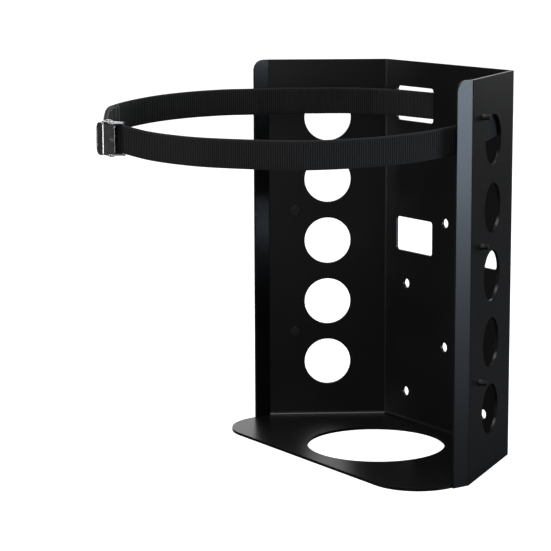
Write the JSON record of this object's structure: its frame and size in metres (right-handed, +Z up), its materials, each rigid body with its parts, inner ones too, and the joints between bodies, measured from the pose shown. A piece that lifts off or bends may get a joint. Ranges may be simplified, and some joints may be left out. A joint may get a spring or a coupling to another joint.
{
  "type": "gas cylinder bracket",
  "caption": "Folded sheet wall bracket with splayed, round-holed sides, a foot plate and a webbing strap with a metal cam buckle that holds one gas cylinder upright.",
  "frame": {"origin": "middle of the four wall holes, on the wall face at the back", "axes": "+X to the right seen from the front, +Y back into the wall, so the open front faces -Y, +Z up"},
  "size_m": [0.3316, 0.3288, 0.35],
  "materials": {
    "sheet": "black powder coat, semi-gloss",
    "rubber": "smooth black rubber",
    "webbing": "black ribbed webbing",
    "buckle": "bright plated sheet",
    "pins": "bright plated steel",
    "spring": "bare spring wire"
  },
  "bodies": {
    "bracket": {"bracket_shell": "sheet", "foot_plate": "sheet", "bumper_left_low": "rubber", "bumper_left_mid": "rubber", "bumper_left_top": "rubber", "bumper_right_low": "rubber", "bumper_right_mid": "rubber", "bumper_right_top": "rubber", "strap": "webbing", "buckle_body": "buckle", "pivot_pin": "pins", "strap_bar": "pins", "cam_spring": "spring"},
    "lever": {"cam_lever": "buckle"}
  },
  "joints": [
    {"name": "lever_hinge", "type": "hinge", "parent": "bracket", "child": "lever", "pos_m": [-0.06727, -0.31932, 0.2115], "axis": [0, 0, 1], "range_deg": [0, 58], "deforming": ["cam_spring"]}
  ]
}
